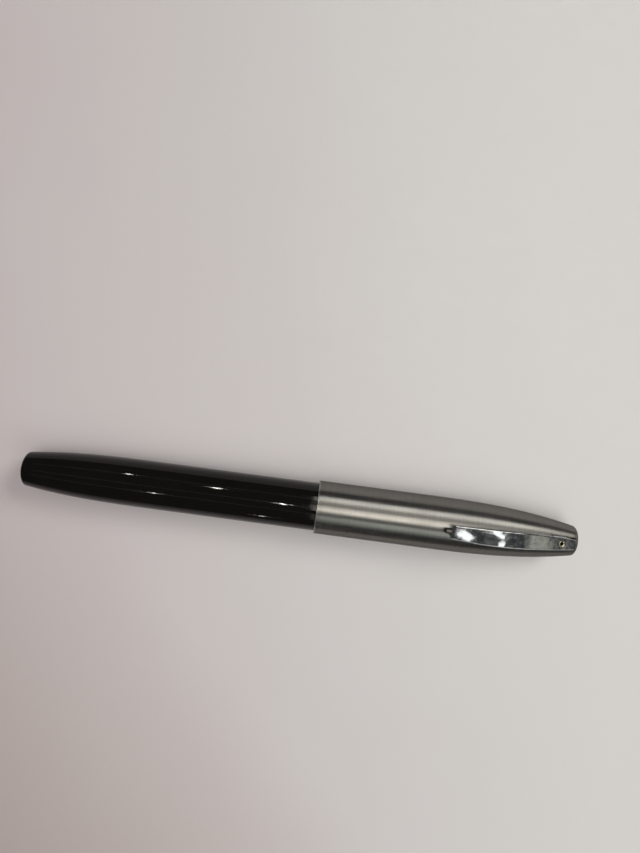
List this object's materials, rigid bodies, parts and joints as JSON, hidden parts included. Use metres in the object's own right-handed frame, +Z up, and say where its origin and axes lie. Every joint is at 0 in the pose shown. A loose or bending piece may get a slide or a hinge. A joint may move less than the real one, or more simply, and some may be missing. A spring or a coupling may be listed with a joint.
{
  "type": "brush pen",
  "caption": "Capped brush pen lying clip up: glossy black barrel, brushed steel push-on cap with sprung chrome clip, bristle tip and screw-piston ink converter.",
  "frame": {"origin": "centre of the bounding box's bottom face, on the table under the pen", "axes": "+X along the pen from the tail towards the cap's end, +Z up through the clip"},
  "size_m": [0.136, 0.013, 0.0153],
  "materials": {
    "black_resin": "polished",
    "brushed_steel": "brushed round the cap",
    "chrome": "polished",
    "brass": "machined",
    "spring_steel": "plain",
    "dark_plastic": "moulded",
    "milky_plastic": "moulded",
    "clear_plastic": "clear",
    "seal_rubber": "smooth",
    "bristle": "fine fibres",
    "wick_fibre": "felted"
  },
  "bodies": {
    "cap": {"cap_shell": "brushed_steel", "cap_clutch": "spring_steel", "clip_bracket": "spring_steel", "clip_pin": "spring_steel", "clip_spring": "spring_steel"},
    "clip": {"clip": "chrome", "clip_lever": "spring_steel", "clip_rivet": "brass"},
    "cap_liner": {"inner_cap": "milky_plastic"},
    "grip": {"thread_connector": "brass", "clutch_ring": "chrome", "grip_section": "black_resin", "comb_feed": "dark_plastic", "feed_wick": "wick_fibre", "brush_ferrule": "chrome", "bristle_tuft": "bristle"},
    "barrel_ring": {"trim_ring": "chrome"},
    "barrel_insert": {"barrel_thread_insert": "brass"},
    "barrel": {"barrel_shell": "black_resin"},
    "converter": {"converter_tube": "clear_plastic", "converter_collar": "chrome", "rod_guide": "dark_plastic"},
    "knob": {"converter_knob": "dark_plastic", "knob_nut": "brass"},
    "piston": {"piston_rod": "dark_plastic", "piston_seal": "seal_rubber"}
  },
  "joints": [
    {"name": "cap_turn", "type": "hinge", "parent": "cap", "child": "cap_liner", "pos_m": [0.03, 0, 0.0065], "axis": [1, 0, 0], "continuous": true},
    {"name": "cap_pull", "type": "slide", "parent": "cap_liner", "child": "grip", "axis": [-1, 0, 0], "range_m": [0, 0.06]},
    {"name": "clip_lift", "type": "hinge", "parent": "cap", "child": "clip", "pos_m": [0.06485, 0, 0.0087], "axis": [0, 1, 0], "range_deg": [0, 6], "stiffness_Nm_per_rad": 0.25, "springref_deg": -5.73, "deforming": ["clip_spring"]},
    {"name": "barrel_draw", "type": "slide", "parent": "grip", "child": "barrel_ring", "axis": [-1, 0, 0], "range_m": [0, 0.065]},
    {"name": "barrel_advance", "type": "slide", "parent": "barrel_ring", "child": "barrel_insert", "axis": [-1, 0, 0], "range_m": [0, 0.005]},
    {"name": "barrel_turn", "type": "hinge", "parent": "barrel_insert", "child": "barrel", "pos_m": [-0.03, 0, 0.0065], "axis": [-1, 0, 0], "range_deg": [0, 1800]},
    {"name": "converter_pull", "type": "slide", "parent": "grip", "child": "converter", "axis": [-1, 0, 0], "range_m": [0, 0.0108]},
    {"name": "knob_turn", "type": "hinge", "parent": "converter", "child": "knob", "pos_m": [-0.046, 0, 0.0065], "axis": [1, 0, 0], "range_deg": [0, 2880]},
    {"name": "piston_travel", "type": "slide", "parent": "converter", "child": "piston", "axis": [1, 0, 0], "range_m": [0, 0.02]}
  ],
  "couplings": [
    {"joint": "barrel_turn", "follows": "barrel_advance", "rad_per_m": 6283.2},
    {"joint": "knob_turn", "follows": "piston_travel", "rad_per_m": 2513.3}
  ]
}
